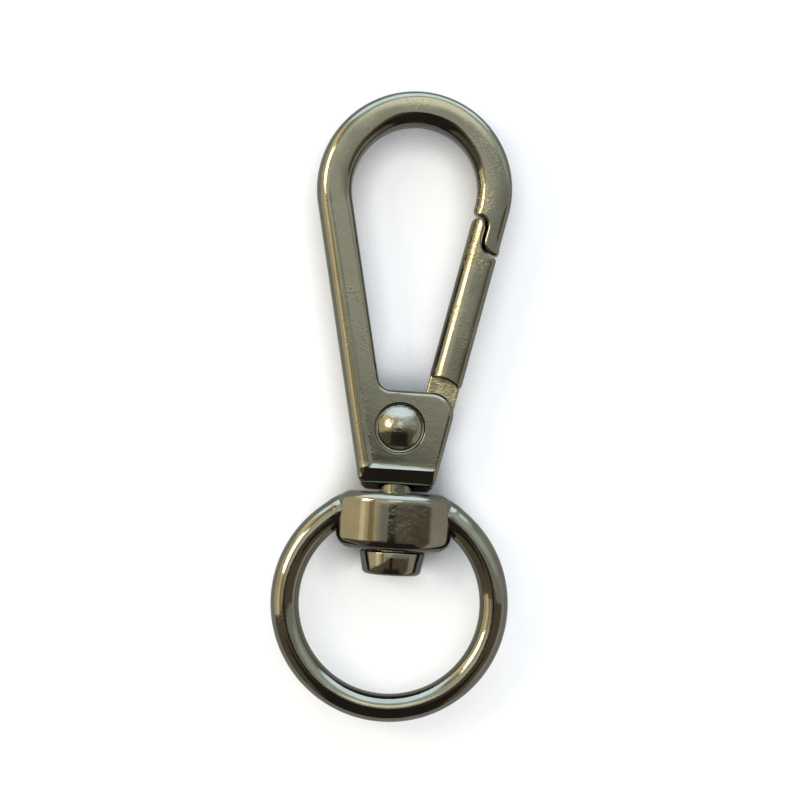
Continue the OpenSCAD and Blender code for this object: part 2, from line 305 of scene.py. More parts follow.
def noiseOf(tree, place, size, detail, roughness=0.5):
    # noise whose grains are about the given size in mm
    inputs = {"Vector": place, "Scale": 1 / (size * mm), "Detail": detail, "Roughness": roughness}
    return addNode(tree, "ShaderNodeTexNoise", inputs).outputs["Fac"]


def platedMetal(name, look):
    # black nickel over metal: a dark mirror with orange peel, faint clouds and fine grains; a rubbed spot
    # (u, v, radius, depth) on the gate's leg has deeper grains and warm flecks, worn metal with a painted
    # warm glint
    p = plating
    material = bpy.data.materials.new(name)
    material.use_nodes = True
    tree = material.node_tree
    shader = tree.nodes["Principled BSDF"]
    place = addNode(tree, "ShaderNodeTexCoord").outputs["Object"]
    cloud = noiseOf(tree, place, look["cloudSize"], p["cloudDetail"])
    peel = noiseOf(tree, place, look["peelSize"], p["peelDetail"], p["peelRoughness"])
    speck = noiseOf(tree, place, look["grainSize"], p["grainDetail"])
    tint = addNode(tree, "ShaderNodeValToRGB", {"Fac": cloud})
    for stop, at, tone in zip(tint.color_ramp.elements, p["cloud"], (look["dark"], look["pale"])):
        stop.position = at
        stop.color = toLinear(tone)
    colour = tint.outputs["Color"]
    worn = bandOf(tree, cloud, *p["worn"], p["wornLeast"])
    fleck = bandOf(tree, speck, *p["fleck"])
    # painted glint: warm flecks mixed into the colour round each rubbed spot, over the real wear's deeper
    # grains
    for u, v, radius, depth in look.get("wornGlintSpots", ()):
        spot = (np.array((*gateLeg(u, v), halfThick)) + origin) * mm
        away = addNode(tree, "ShaderNodeVectorMath", {0: place, 1: spot}, operation="DISTANCE")
        near = bandOf(tree, away.outputs["Value"], radius * mm, p["wornGlintCore"] * radius * mm, 0.0, depth)
        worn = mathOf(tree, "MAXIMUM", worn, near)
        bareGlint = mathOf(tree, "MULTIPLY", mathOf(tree, "MULTIPLY", near, p["bareGlintShare"] / depth), fleck)
        colour = mixOf(tree, bareGlint, colour, toLinear(look["bareGlint"]))
    grain = bandOf(tree, speck, *p["grain"], 0.0, look["grain"])
    height = mathOf(tree, "MULTIPLY_ADD", grain, worn, peel)
    bump = addNode(tree, "ShaderNodeBump", {
        "Height": height, "Strength": 1.0, "Distance": look["peelDepth"] * mm})
    haze = bandOf(tree, cloud, *p["cloud"], *look["gloss"])
    shader.inputs["Metallic"].default_value = 1.0
    for key, link in (("Base Color", colour), ("Roughness", haze), ("Normal", bump.outputs["Normal"])):
        tree.links.new(link, shader.inputs[key])
    return material


# die-cast zinc, tumbled and plated: softly rippled with fine grains, so bright edges break into speckle;
# the grains are drawn about twice as large as they are, to show at this size
zincPlate = platedMetal("blackNickelPlatedZinc", {
    "dark": "#77776b", "pale": "#818175", "gloss": (0.06, 0.11),
    "cloudSize": 3.0, "peelSize": 0.8, "peelDepth": 0.0018, "grainSize": 0.17, "grain": 3.2,
    # its rubbed spot by the nose: worn plating with a painted warm glint in its flecks
    "wornGlintSpots": ((6.6, 0.6, 2.5, 20.0),), "bareGlint": "#b9a679"})
# the gate's zinc, rubbed by the nose: the same but duller, with more grains, and warm flecks that are
# worn plating with a painted warm glint
gatePlate = platedMetal("blackNickelPlatedWornGlintZinc", {
    "dark": "#77776b", "pale": "#818175", "gloss": (0.16, 0.26),
    "cloudSize": 3.5, "peelSize": 0.4, "peelDepth": 0.006, "grainSize": 0.2, "grain": 4.0,
    "wornGlintSpots": ((7.2, -3.4, 4.4, 9.0),), "bareGlint": "#b9a679"})
# the same zinc as cast, where tumbling doesn't reach: pebbled, warmer and paler than the plating, partly
# worn plating and partly a painted warm glint
zincSkin = platedMetal("blackNickelPlatedCastZinc", {
    "dark": "#857e69", "pale": "#b0a688", "gloss": (0.10, 0.18),
    "cloudSize": 0.8, "peelSize": 0.18, "peelDepth": 0.06, "grainSize": 0.14, "grain": 0.6})
# formed steel, plated: smoother, with a long ripple
steelPlate = platedMetal("blackNickelPlatedSteel", {
    "dark": "#75756a", "pale": "#808074", "gloss": (0.05, 0.09),
    "cloudSize": 2.5, "peelSize": 1.1, "peelDepth": 0.010, "grainSize": 0.2, "grain": 0.25})
# headed steel, plated: dimpled by the riveting tool
rivetPlate = platedMetal("blackNickelPlatedRivetSteel", {
    "dark": "#77766a", "pale": "#87867a", "gloss": (0.11, 0.17),
    "cloudSize": 1.5, "peelSize": 0.4, "peelDepth": 0.03, "grainSize": 0.16, "grain": 0.8})
# drawn spring wire, bare: brighter and rougher
springSteel = platedMetal("drawnSpringSteel", {
    "dark": "#8f8d88", "pale": "#b1afa9", "gloss": (0.25, 0.38),
    "cloudSize": 0.6, "peelSize": 0.08, "peelDepth": 0.004, "grainSize": 0.1, "grain": 0.3})
print("finishes made")


# hook casting: the outline of the open hook with rounded edges, its slot, rivet seats and pressed front

casting = {
    "step": 0.09,          # spacing of points along the outline
    "rings": 12,
    "sharp": 38,
    "edgeTurns": (0, 50, 85, 130, 180),   # the rail's edge radii by direction, from right over the top
    "outerEdge": (0.75, 0.75, 0.7, 1.1, 1.4),
    "innerEdge": (1.1, 1.3, 2.0, 0.9, 0.7),
    "cheekEdge": 0.8,
    "cheekZone": (-3, -4, 1.2),   # the cheeks' edge: least x, least u, most rise over the crotch
    "lipEdge": 0.3,
    "lipZone": (-0.7, -4),        # the lip's edge: most v inside the notch and round the tip
    "baseEdge": 0.3,
    "baseZone": 0.9,
    "edgeSoft": 12,        # points over which one edge radius runs into the next
    "crown": 0.1,          # rise of the rail's face across its width
    "crownFade": 4,        # height over the crotch at which it is full
    "endLift": 0.45,       # worn end of the base above the nominal end
    "endBevel": 1.75,      # length and depth of the bevel at the end of the base
    "endFall": 0.6,
    "cornerCut": 0.4,
    "endCorners": (0.6, 0.5),
    "crotchRadius": 1.4,
    "cheekCorner": 2.4,
    "noseTip": -4.75,      # along the gate's leg
    "noseZone": (3, -12),  # least x and y of the nose
    "noseFade": (1.4, 1.2),       # height where the nose's own edge starts, and its way down
    "tipCorner": 0.3,
    "lipWidth": 1.85,
    "notchTop": -0.95,
    "notchCorners": (0.6, 1.12, 1.5),
    "slotHalf": 1.3,
    "wallRoom": 0.05,      # least height of the wall between an edge's rounding and the slot's level
    "slotRadius": 2.65,
    "slotRise": 1.07,
    "heelFloor": -1.05,
    "seatRadius": 2.76,    # recess round each rivet head
    "seatDepth": 0.55,
    "seatLip": 0.08,
    "lipStart": 1.15,
    "seatCorner": 0.2,
    "seatFloor": 1.0,      # how far the floor reaches in under the head
    "seatSides": 96,
    "seatBends": 8,
    "keyReach": 0.26,      # rib on the nose that closes the gap beside the finger at half depth
    "ribTop": (0.3, 0.3),  # drop from the notch's top where it is full, and its share above that
    "ribEnd": -4.5,
    "endSwell": 0.66,      # how far the end of the base swells down at half depth
    "endThin": 0.92,       # share of the slot's height that the swell gives up
    "wallSoft": 4,
    "slack": (0.05, 0.1),  # tolerances on a place and on an edge radius
    "pressDepth": 0.28,    # pressed flat round the rivet, deepest at its lower left corner
    "pressTilt": 0.0236,
    "pressFade": (2, -30),   # where it starts on the spine and where it is full
    "pressWall": ((-9.9, 2.0), (-3.11, -30.3)),
    "pressSlope": 0.75,
    "beadFoot": 0.45,      # slope up to the bead across the base
}
facePoints = {             # loose points of the front and back: start, end and spacing
    "baseX": (-5, 5, 0.22),
    "baseFoot": 0.2,
    "noseU": (7.1, 8.6, 0.14),
    "noseV": (-0.8, 1.2, 0.14),
    "railTurn": (-10, 191, 1.5),
    "railOut": (7.2, 10.6, 0.24),
    "spineV": (-22, -2, 0.4),
    "wallRows": (-0.05, 0, 0.05, 0.1, 0.15, 0.2, 0.25, 0.3, 0.36, 0.44),
    "beadHalf": 4.2,
    "beadRows": (-0.1, 0, 0.1, 0.2, 0.3, 0.4, 0.45, 0.52),
    "rowStep": 0.2,
    "apart": 0.05,
    "edgeRoom": 0.12,      # room to the rounded edge and to the rivet's recess
    "seatRoom": 0.08,
}
endY = baseY + casting["endLift"]
crestY = endY + casting["endBevel"]


def nearNose(x, y):
    return (x > casting["noseZone"][0]) & (y > casting["noseZone"][1])


def lineDistance(x, y, start, end):
    # signed distance from a straight line, positive to its right going down
    along = np.array(end) - np.array(start)
    return (along[0] * (y - start[1]) - along[1] * (x - start[0])) / np.linalg.norm(along)


def pressedFront(x, y):
    # depth of the pressed flat: a tilted floor that fades up the spine, inside its left wall and the bead
    c = casting
    wall = c["pressSlope"] * lineDistance(x, y, *c["pressWall"])
    floor = c["pressDepth"] - c["pressTilt"] * (x - c["pressWall"][1][0])
    floor = floor * np.clip((c["pressFade"][0] - y) / (c["pressFade"][0] - c["pressFade"][1]), 0, 1)
    bead = c["pressDepth"] * (y - crestY) / c["beadFoot"]
    return np.clip(np.minimum(np.minimum(floor, wall), bead), 0, None)


def endFall(y):
    # height of the front near the end of the base: a straight bevel down to the end
    return halfThick - casting["endFall"] * np.clip((crestY - y) / casting["endBevel"], 0, 1)


def acrossRail(x, y):
    # distance across the rail: from the loop's centre in the round end, from its axis along the legs
    leg, above = legFrame(np.abs(x), y)
    return np.where(above > 0, np.hypot(x, y), leg)


def railCrown(x, y):
    # the rail's face falls by the square of the way from its middle, and is flat on the base
    away = np.clip(2 * (acrossRail(x, y) - loop["radius"]) / loop["railWidth"] + 1, -1, 1)
    return casting["crown"] * away ** 2 * np.clip((y - crotchY) / casting["crownFade"], 0, 1)


def railEdge(x, y, side):
    # edge radius of the rail's outside or inside in the direction of a point
    turn = np.degrees(np.arctan2(np.maximum(y, 0), x))
    return np.interp(turn, casting["edgeTurns"], casting[side])


def castingOutline():
    # anticlockwise: nose tip, round end, spine, base, cheeks, crotch, inside of the loop, notch and lip
    c = casting
    inner = loop["radius"] - loop["railWidth"]
    lipSide = loop["radius"] - c["lipWidth"]
    cut = c["cornerCut"] / (1 - math.tan(lean))
    turn = math.degrees(lean)
    outerArc = [(x, y, 0) for x, y in arcPoints((0, 0), loop["radius"], -turn, 180 + turn).tolist()]
    innerArc = [(x, y, 0) for x, y in arcPoints((0, 0), inner, 180 + turn, -turn).tolist()]
    wide = halfBase + (c["endLift"] + cut) * math.tan(lean)
    flat = halfBase + c["endLift"] * math.tan(lean) - c["cornerCut"]
    spineX, _ = legPoint(inner, crotchY)
    sideCorner, endCorner = c["endCorners"]
    return evenly(roundCorners(
        [(*gateLeg(loop["radius"], c["noseTip"]), c["tipCorner"])]
        + outerArc
        + [(-wide, endY + cut, sideCorner), (-flat, endY, endCorner)]
        + [(flat, endY, endCorner), (wide, endY + cut, sideCorner)]
        + [(*legPoint(loop["radius"], crotchY), c["cheekCorner"])]
        + [(-spineX, crotchY, c["crotchRadius"])]
        + innerArc
        + [(*gateLeg(inner, c["notchTop"]), c["notchCorners"][0])]
        + [(*gateLeg(lipSide, c["notchTop"]), c["notchCorners"][1])]
        + [(*gateLeg(lipSide, c["noseTip"]), c["notchCorners"][2])]), c["step"])


def castingRim(outline):
    # edge radius along the outline: the rail's outside and inside, then cheeks, base end and notch
    c = casting
    x, y = outline.T
    u, v = legFrame(x, y)
    outside = acrossRail(x, y) > loop["radius"] - loop["railWidth"] / 2
    rim = np.where(outside, railEdge(x, y, "outerEdge"), railEdge(x, y, "innerEdge"))
    leastX, leastU, rise = c["cheekZone"]
    rim[(y < crotchY + rise) & (u > leastU) & (x > leastX)] = c["cheekEdge"]
    rim[y < endY + c["baseZone"]] = c["baseEdge"]
    notchV, tipV = c["lipZone"]
    notch = (v < notchV) & (u < loop["radius"] - c["slack"][0])
    rim[nearNose(x, y) & (notch | (v < tipV))] = c["lipEdge"]
    return fittingRim(outline, rim, c["edgeSoft"])


def noseSide(x, y):
    # drop of the rail's inner edge, carried on straight to the notch
    r = railEdge(x, y, "innerEdge")
    left = np.clip(r - (acrossRail(x, y) - loop["radius"] + loop["railWidth"]), 0, r)
    start, way = casting["noseFade"]
    near = np.where(nearNose(x, y), np.clip((start - y) / way, 0, 1), 0)
    return near * (r - np.sqrt(r * r - left * left))


def frontLevel(x, y, drop):
    # height of the front: the face and the end's bevel less the rounded edge's drop, or the pressed flat
    return np.minimum(backLevel(x, y, drop), halfThick - pressedFront(x, y))


def backLevel(x, y, drop):
    # the same at the back, which isn't pressed
    return np.minimum(endFall(y) - drop, halfThick - noseSide(x, y)) - railCrown(x, y)


def seatRows(front):
    # recess of a rivet head: a rounded lip, a hollow corner and the floor under the head
    c = casting
    turn = np.linspace(0, 2 * math.pi, c["seatSides"], endpoint=False)
    bend = np.linspace(0, math.pi / 2, c["seatBends"])
    lip, corner, depth = c["seatLip"], c["seatCorner"], c["seatDepth"]
    radius = c["seatRadius"] + np.r_[
        c["lipStart"] * lip, lip * (1 - np.sin(bend)), -corner * (1 - np.cos(bend)), -c["seatFloor"]]
    drop = np.r_[0, lip * (1 - np.cos(bend)), depth - corner * (1 - np.sin(bend)), depth][:, None]
    x = radius[:, None] * np.cos(turn)
    y = pivotY + radius[:, None] * np.sin(turn)
    z = halfThick - drop + 0 * x
    if front:
        z -= pressedFront(x, y) * (1 - drop / depth)
    return np.stack([x, y, z if front else -z], -1)


def loosePoints():
    # grids over the base, the nose, the round end and the spine, and rows along the wall and the bead
    f = facePoints
    turn, out = flatGrid(f["railTurn"], f["railOut"])
    turn = np.radians(turn)
    spineX, spineY = gateLeg(*flatGrid(f["railOut"], f["spineV"]))
    sets = [
        np.column_stack(flatGrid(f["baseX"], (endY + f["baseFoot"], crotchY, f["baseX"][2]))),
        np.column_stack(gateLeg(*flatGrid(f["noseU"], f["noseV"]))),
        np.c_[out * np.cos(turn), out * np.sin(turn)],
        np.c_[-spineX, spineY]]
    bead = ((-f["beadHalf"], crestY), (f["beadHalf"], crestY))
    for (start, end), offsets in ((casting["pressWall"], f["wallRows"]), (bead, f["beadRows"])):
        along = np.array(end) - np.array(start)
        length = np.linalg.norm(along)
        across = np.array((-along[1], along[0])) / length
        at = np.linspace(0, 1, int(length / f["rowStep"]))[:, None, None]
        sets.append((np.array(start) + at * along + np.array(offsets)[:, None] * across).reshape(-1, 2))
    return spaced(np.concatenate(sets), f["apart"])


def castingStack(outline, rim):
    # rows from the front's edge to the back's; the two wall rows between carry the rib and the swell
    c = casting
    edge = rimRows(outline, rim, halfThick, c["rings"])
    drop = halfThick - edge[..., 2]
    front, back = edge.copy(), edge[::-1].copy()
    front[..., 2] = frontLevel(edge[..., 0], edge[..., 1], drop)
    back[..., 2] = -backLevel(back[..., 0], back[..., 1], drop[::-1])
    x, y = outline.T
    _, v = legFrame(x, y)
    ribDrop, ribShare = c["ribTop"]
    notch = (rim < c["lipEdge"] + c["slack"][1]) & nearNose(x, y)
    rib = np.where(v > c["notchTop"] - ribDrop, ribShare, np.where(v > c["ribEnd"], 1, 0))
    end = smoothed(np.where(y < endY + c["slack"][0], 1.0, 0.0), c["wallSoft"])
    reach = c["keyReach"] * smoothed(np.where(notch, rib, 0), c["wallSoft"]) + c["endSwell"] * end
    wall = np.c_[outline - inward(outline) * reach[:, None], c["slotHalf"] * (1 - c["endThin"] * end)]
    wallLow = wall * (1, 1, -1)
    wall[:, 2] = np.minimum(wall[:, 2], front[-1, :, 2] - c["wallRoom"])
    wallLow[:, 2] = np.maximum(wallLow[:, 2], back[0, :, 2] + c["wallRoom"])
    return np.concatenate([front, wall[None], wallLow[None], back]), len(front)


def hookCasting():
    c = casting
    outline = castingOutline()
    count = len(outline)
    rim = castingRim(outline)
    stack, mouthRow = castingStack(outline, rim)
    rows = len(stack)

    # mouth of the slot: from the heel's floor up the gate side, over the corner and along the crotch
    heel = gateLeg(loop["radius"], -loop["pivotDrop"] * math.cos(lean) + c["heelFloor"])
    inner = (-c["slotRadius"], crotchY + c["slotRise"])
    first, last = (int(np.argmin(np.linalg.norm(outline - spot, axis=1))) for spot in (heel, inner))
    mouth = np.arange(first, last + 1 if last > first else last + count + 1) % count

    shell = Shell()
    faces = gridFaces(rows, count).reshape(rows - 1, count, 4)
    solid = np.ones((rows - 1, count), bool)
    solid[mouthRow, mouth[:-1]] = False
    shell.add(stack, faces[solid])

    # inside of the slot: heel floor, round space for the ear and the wall beside the spine
    turn = math.degrees(math.asin(c["heelFloor"] / c["slotRadius"]))
    earSpace = arcPoints((0, pivotY), c["slotRadius"], turn - math.degrees(lean), -180)
    path = np.vstack([earSpace, (-c["slotRadius"], (pivotY + crotchY) / 2)])
    high = np.c_[path, np.full(len(path), c["slotHalf"])]
    lines = []
    for row, level in ((mouthRow, high), (mouthRow + 1, high * (1, 1, -1))):
        start = shell.add(level)
        ends = row * count + mouth[[0, -1]]
        lines.append(np.r_[ends[0], start + np.arange(len(path)), ends[1]])
    topLine, lowLine = lines
    shell.join(np.stack([topLine[:-1], lowLine[:-1], lowLine[1:], topLine[1:]], -1))
    shell.join([np.r_[mouthRow * count + mouth[1:-1], topLine[::-1]][::-1]])
    shell.join([np.r_[(mouthRow + 1) * count + mouth[1:-1], lowLine[::-1]]])

    # front and back faces between the rounded edge and the rivet's recess
    margin = outline + inward(outline) * (rim + facePoints["edgeRoom"])[:, None]
    loose = loosePoints()
    sides = c["seatSides"]
    for isFront in (True, False):
        ring = stack[0 if isFront else -1]
        ringStart = 0 if isFront else (rows - 1) * count
        seat = seatRows(isFront)
        away = np.hypot(loose[:, 0], loose[:, 1] - pivotY)
        within = loose[insideOf(loose, margin) & (away > seat[0, 0, 0] + facePoints["seatRoom"])]
        filled = fillFace(ring[:, :2], [seat[0, :, :2]], within)
        level = frontLevel(*within.T, 0) if isFront else -backLevel(*within.T, 0)
        seatStart = shell.add(seat)
        looseStart = shell.add(np.c_[within, level])
        starts = ((ringStart, count), (seatStart, sides), (looseStart, len(within)))
        index = np.concatenate([start + np.arange(length) for start, length in starts])
        shell.join(index[filled if isFront else filled[:, ::-1]])
        walls = gridFaces(len(seat), sides, seatStart)
        shell.join(walls[:, ::-1] if isFront else walls)
        floor = seatStart + (len(seat) - 1) * sides + np.arange(sides)
        shell.join([floor if isFront else floor[::-1]])
    return makePiece("hookCasting", shell, c["sharp"], "hook", "hook_body", zincPlate)


hookCasting()


# gate: a rounded bar with a finger behind the nose, and a thin tongue that turns between the cheeks

lever = {
    "step": 0.08,
    "rings": 9,
    "sharp": 38,
    "inner": 7.0,          # across the leg
    "half": 2.3,
    "barRound": (1.6, 0.75),   # rounding along the inner and the outer side of the bar
    "barCrown": 0.07,
    "edge": 0.24,          # small rounding of every other edge
    "edgeSoft": 3,
    "corner": 0.3,
    "hollow": 1.9,         # hollow round the nose
    "hollowEnd": -5.05,
    "fingerSide": 8.45,
    "fingerTop": -1.2,
    "fingerRound": 0.715,
    "shoulderGap": 1.7,
    "shoulderTrim": 8,     # points of the shoulder's arc that its corner takes up
    "looseV": (-24.0, -1.0, 0.22),
    "apart": 0.05,
    "edgeRoom": 0.08,
    "slack": 0.02,
    "tongueHalf": 1.2,
    "tongueStep": 0.1,
    "tongueRings": 5,
    "tongueEdge": 0.22,
    "tongueSoft": 4,
    "tongueTop": 7,        # above the rivet, inside the bar
    "earRadius": 2.4,
    "heel": -1.0,
    "outside": 10.55,
    "web": 7.1,
    "webDrop": 0.6,        # foot of the web below the crotch
    "webCorner": 0.4,
}


def crownedPlate(shell, outline, rim, share, level, rings, loose):
    # plate whose face follows a level, its edge rounded where its share is 1; the back mirrors the front
    edge = rimRows(outline, rim, 0, rings)
    edge[..., 2] = level(edge[..., 0], edge[..., 1]) + share * edge[..., 2]
    stack = np.concatenate([edge, edge[::-1] * (1, 1, -1)])
    count, rows = len(outline), len(stack)
    start = shell.add(stack, gridFaces(rows, count))
    loose = loose[insideOf(loose, outline + inward(outline) * (rim + lever["edgeRoom"])[:, None])]
    filled = fillFace(edge[0, :, :2], [], loose)
    for side, ring in ((1, 0), (-1, rows - 1)):
        inner = shell.add(np.c_[loose, side * level(loose[:, 0], loose[:, 1])])
        index = np.r_[start + ring * count + np.arange(count), inner + np.arange(len(loose))]
        shell.join(index[filled if side > 0 else filled[:, ::-1]])


def barLevel(x, y):
    # half section of the bar: a crown that falls by a square, and a quarter circle down to each side
    g = lever
    u, _ = legFrame(x, y)
    wide = loop["radius"] - g["inner"]
    level = g["half"] - g["barCrown"] * (2 * (u - g["inner"]) / wide - 1) ** 2
    for r, room in zip(g["barRound"], (u - g["inner"], loop["radius"] - u)):
        reach = np.clip(r - room, 0, r)
        level = level - r + np.sqrt(r * r - reach * reach)
    return level


def gateBar():
    g = lever
    side = loop["radius"]
    cornerY = crotchY - casting["cheekCorner"]
    cornerX, _ = legPoint(side - casting["cheekCorner"], cornerY)
    reach = casting["cheekCorner"] + g["shoulderGap"]
    endTurn = math.degrees(math.pi / 2 - lean - math.asin(casting["cheekCorner"] / reach))
    endArc = arcPoints((cornerX, cornerY), reach, 90, endTurn)
    lowerLeft = legPoint(g["inner"], crotchY + g["shoulderGap"])
    outline = evenly(roundCorners(
        [(*endArc[-1], g["corner"]), (*gateLeg(side, g["hollowEnd"]), g["corner"])]
        + [(*gateLeg(g["fingerSide"], g["hollowEnd"]), g["hollow"])]
        + [(*gateLeg(g["fingerSide"], g["fingerTop"]), g["fingerRound"])]
        + [(*gateLeg(g["inner"], g["fingerTop"]), g["fingerRound"])]
        + [(*lowerLeft, g["corner"])]
        + [(x, y, 0) for x, y in endArc[1:-g["shoulderTrim"]].tolist()]), g["step"])
    u, _ = legFrame(*outline.T)
    onSide = (u < g["inner"] + g["slack"]) | (u > side - g["slack"])
    share = smoothed(np.where(onSide, 0.0, 1.0), g["edgeSoft"])
    rim = fittingRim(outline, np.full(len(outline), g["edge"]), g["edgeSoft"])
    fromSide = np.r_[0.3:0.62:0.1, 0.75:1.9:0.18]   # closer on the rounding than on the crown
    looseU, looseV = np.meshgrid(fromSide, np.arange(*g["looseV"]))
    looseU = np.c_[g["inner"] + looseU, side - looseU]
    loose = np.stack(gateLeg(looseU, np.c_[looseV, looseV]), -1).reshape(-1, 2)
    shell = Shell()
    crownedPlate(shell, outline, rim, share, barLevel, g["rings"], spaced(loose, g["apart"]))
    return makePiece("gateBar", shell, g["sharp"], "gate", "gate", gatePlate)


def gateTongue():
    # ear round the rivet, web up into the bar and the heel that stops the gate
    g = lever
    pivotU, pivotV = loop["pivotDrop"] * math.sin(lean), -loop["pivotDrop"] * math.cos(lean)
    webV = (crotchY - g["webDrop"] + g["web"] * math.sin(lean)) / math.cos(lean)
    away = math.hypot(g["web"] - pivotU, webV - pivotV)
    webTurn = math.atan2(webV - pivotV, g["web"] - pivotU) + math.acos(g["earRadius"] / away)
    heelTurn = 360 + math.degrees(math.asin(g["heel"] / g["earRadius"]))
    ear = arcPoints((pivotU, pivotV), g["earRadius"], math.degrees(webTurn), heelTurn)
    topV = pivotV + g["tongueTop"]
    outline = [(g["outside"], pivotV + g["heel"], g["corner"]), (g["outside"], topV, 0)]
    outline += [(g["web"], topV, 0), (g["web"], webV, g["webCorner"])]
    outline += [(u, v, 0) for u, v in ear.tolist()]
    outline = evenly(roundCorners([(*gateLeg(u, v), r) for u, v, r in outline]), g["tongueStep"])
    rim = fittingRim(outline, np.full(len(outline), g["tongueEdge"]), g["tongueSoft"])
    shell = Shell()
    flat = lambda x, y: g["tongueHalf"] + 0 * x
    crownedPlate(shell, outline, rim, 1.0, flat, g["tongueRings"], np.zeros((0, 2)))
    return makePiece("gateTongue", shell, g["sharp"], "gate", "gate", zincSkin)


gateBar()
gateTongue()


# turned pieces: a half outline carried once round its axis

turning = {"sides": 96, "capRows": 24, "bendRows": 8, "pole": 0.01, "sharp": 40}


def turnedRows(profile):
    # profile of (radius, height) rows from the top down, about the z axis
    turn = np.linspace(0, 2 * math.pi, turning["sides"], endpoint=False)
    r, h = np.array(profile, float).T
    x, y = r[:, None] * np.cos(turn), r[:, None] * np.sin(turn)
    return np.stack([x, y, h[:, None] + 0 * x], -1)


rivet = {
    "headRadius": 2.5, "edge": 0.12, "shank": 1.1, "seat": 1.95,
    "rise": (1.15, 0.85),   # of the front and the back head
    "skirt": (0.25, 0.2),   # straight sides under their domes
    "undercut": 0.02,
}


def domeProfile(rise, seat):
    # part of a sphere over its seat, turned under by a small edge
    radius, edge = rivet["headRadius"], rivet["edge"]
    ball = (radius ** 2 + rise ** 2) / (2 * rise)
    slope = math.asin((radius - edge) / ball)
    turn = np.linspace(turning["pole"], slope, turning["capRows"])
    cap = np.c_[ball * np.sin(turn), seat + rise - ball + ball * np.cos(turn)]
    bend = np.linspace(slope, math.pi / 2, turning["bendRows"])[1:]
    under = cap[-1] + edge * np.c_[np.sin(bend) - math.sin(slope), np.cos(bend) - math.cos(slope)]
    under[:, 0] = np.minimum(under[:, 0], radius)
    under[:, 1] = np.maximum(under[:, 1], seat)
    return np.vstack([cap, under, (radius - rivet["undercut"], seat)])


def rivetHead():
    side, seat, shank = rivet["headRadius"] - rivet["undercut"], rivet["seat"], rivet["shank"]
    heads = zip(rivet["rise"], rivet["skirt"])
    front, rear = (domeProfile(rise, seat + skirt) for rise, skirt in heads)
    neck = [(side, seat), (shank, seat), (shank, -seat), (side, -seat)]
    shell = Shell()
    shell.addCapped(turnedRows(np.vstack([front, neck, rear[::-1] * (1, -1)])) + (0, pivotY, 0))
    return makePiece(
        "rivetHead", shell, turning["sharp"], "hook", "gate_rivet", rivetPlate)


rivetHead()

swivel = {
    "collarGap": 0.4,      # from the nominal end of the base
    "collarHeight": 6.3, "headGap": 0.15,
    "shank": 1.8, "inside": 3.25, "shankRow": 0.6,   # the shank's top and a row of points, above that end
    "headRadius": 3.6, "lowRadius": 3.25, "headHeight": 2.6, "lip": 0.2, "rim": 0.6,
    "bends": 14, "pole": 0.05,
}
collarTop = baseY - swivel["collarGap"]
collarLow = collarTop - swivel["collarHeight"]
headTop = collarLow - swivel["headGap"]


def swivelPin():
    # shank up into the base, then a tapered head with a rounded lower rim
    s = swivel
    low = headTop - s["headHeight"]
    bend = np.linspace(0, math.pi / 2, s["bends"])
    few, lip, rim = bend[::3], s["lip"], s["rim"]
    upper = np.c_[s["headRadius"] - lip + lip * np.sin(few), headTop - lip + lip * np.cos(few)]
    lower = np.c_[s["lowRadius"] - rim + rim * np.cos(bend), low + rim - rim * np.sin(bend)]
    shank = [(s["shank"], level) for level in (baseY + s["inside"], baseY + s["shankRow"], headTop)]
    rows = turnedRows(np.vstack([shank, upper, lower, (s["pole"], low)]))
    shell = Shell()
    shell.addCapped(np.stack([rows[..., 0], rows[..., 2], -rows[..., 1]], -1))
    return makePiece(
        "swivelPin", shell, turning["sharp"], "hook", "swivel_stud", steelPlate)


swivelPin()


# eye: round ring run into a collar that turns on the pin

eye = {
    "ringRadius": 11.5, "wire": 1.56, "ringRise": 0.73,
    "hide": 25.5, "sink": 0.2,          # the ring's ends inside the collar
    "flare": 0.1, "flareLength": 0.5,
    "ringSteps": 320, "wireSides": 48,
    "bulge": 9.2, "halfDepth": 4.2, "shoulder": 5.18, "shoulderTurn": 42, "halfWidth": 6.35,
    "edges": (1.0, 1.2, 1.7),   # rims of the bulge, the shoulders and the sides
    "crisp": 30,                # how sharply the faces meet
    "collarSides": 288, "collarLevels": 49,
    "bore": 1.86,
    "boreMouth": ((0.25, 0), (0.1, 0.02), (0.02, 0.1), (0, 0.25)),
    "sharp": 38,
}


def collarRows():
    # about the pin: at each height the nearest of bulge, shoulder and side in each direction, softly
    # joined; each face steps in by its own rim r - sqrt(r r - k k), k the reach into the rim
    e = eye
    half = swivel["collarHeight"] / 2
    turn = np.linspace(0, 2 * math.pi, e["collarSides"], endpoint=False)
    level = half * np.sin(np.linspace(-math.pi / 2, math.pi / 2, e["collarLevels"]))[:, None]
    across, out = np.abs(np.cos(turn)), np.abs(np.sin(turn))
    shoulder = math.radians(e["shoulderTurn"])
    inset = []
    for r in e["edges"]:
        reach = np.clip(np.abs(level) - half + r, 0, r)
        inset.append(r - np.sqrt(np.clip(r * r - reach ** 2, 0, None)))
    back = e["bulge"] - e["halfDepth"]
    faces = [
        np.sqrt((e["bulge"] - inset[0]) ** 2 - (back * across) ** 2) - back * out,
        (e["shoulder"] - inset[1]) / (across * math.sin(shoulder) + out * math.cos(shoulder)),
        (e["halfWidth"] - inset[2]) / np.maximum(across, 0.05)]
    radius = sum(r ** -e["crisp"] for r in faces) ** (-1 / e["crisp"])
    mouth = np.array(e["boreMouth"])
    bore = e["bore"] + np.r_[mouth[:, 0], mouth[::-1, 0]][:, None] + 0 * turn
    boreLevel = np.r_[half - mouth[:, 1], mouth[::-1, 1] - half][:, None]
    radius, level = np.vstack([radius, bore]), np.vstack([level, boreLevel]) + 0 * turn
    level = level + (collarTop + collarLow) / 2
    return np.stack([radius * np.cos(turn), level, radius * np.sin(turn)], -1)


